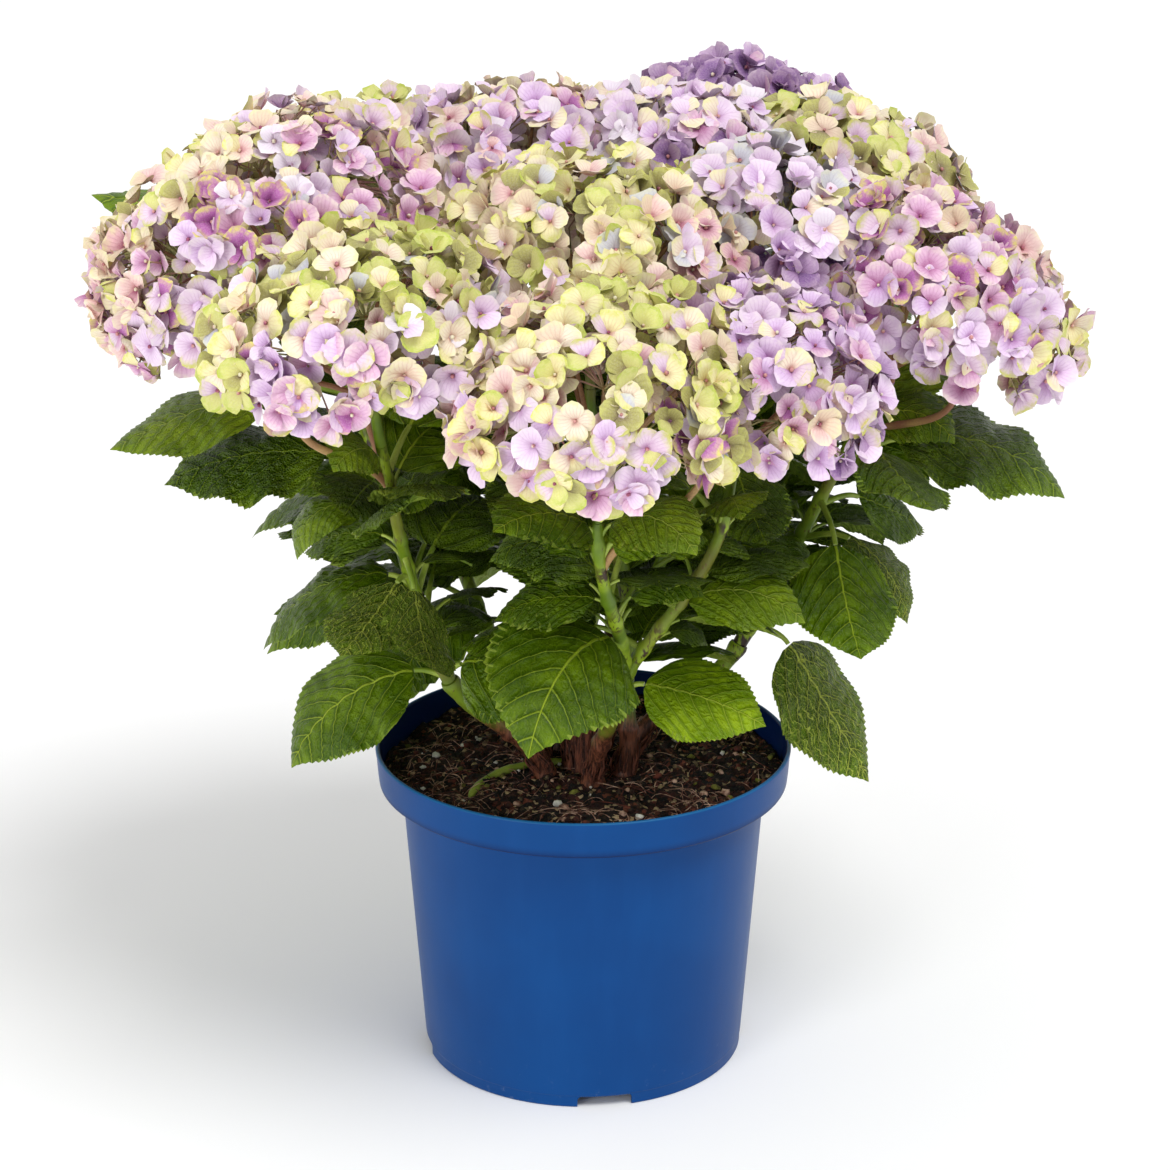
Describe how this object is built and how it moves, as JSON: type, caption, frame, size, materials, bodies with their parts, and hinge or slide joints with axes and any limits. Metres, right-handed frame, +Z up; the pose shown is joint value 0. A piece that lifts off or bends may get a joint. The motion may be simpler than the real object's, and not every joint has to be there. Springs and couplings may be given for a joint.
{
  "type": "potted hydrangea shrub",
  "caption": "Compact mophead hydrangea shrub in a round tapered nursery pot, with leafy shoots on green canes and a full crown of flower heads.",
  "frame": {"origin": "middle of the pot's flat underside, on the ground", "axes": "+Z up along the pot's axis, -Y towards the viewer of the picture, +X to the viewer's right"},
  "size_m": [0.5288, 0.5236, 0.5384],
  "materials": {
    "blue_plastic": "satin",
    "compost": "matte",
    "old_bark": "rough",
    "green_stem": "satin",
    "leaf": "satin",
    "sepals": "matte"
  },
  "bodies": {
    "root": {"pot": "blue_plastic", "compost": "compost", "old_wood": "old_bark", "cane_left": "green_stem", "cane_front": "green_stem", "cane_centre": "green_stem", "cane_right": "green_stem", "cane_rear": "green_stem", "cane_back": "green_stem", "cane_rear_left": "green_stem", "foliage_left": "leaf", "foliage_front": "leaf", "foliage_centre": "leaf", "foliage_right": "leaf", "foliage_rear": "leaf", "foliage_back": "leaf", "foliage_rear_left": "leaf", "bloom_left": "sepals", "bloom_front_left": "sepals", "bloom_front": "sepals", "bloom_front_right": "sepals", "bloom_right": "sepals", "bloom_centre": "sepals", "bloom_centre_right": "sepals", "bloom_back_left": "sepals", "bloom_back": "sepals", "bloom_back_right": "sepals", "bloom_far_right": "sepals", "bloom_rear": "sepals", "bloom_rear_left": "sepals"}
  },
  "joints": []
}
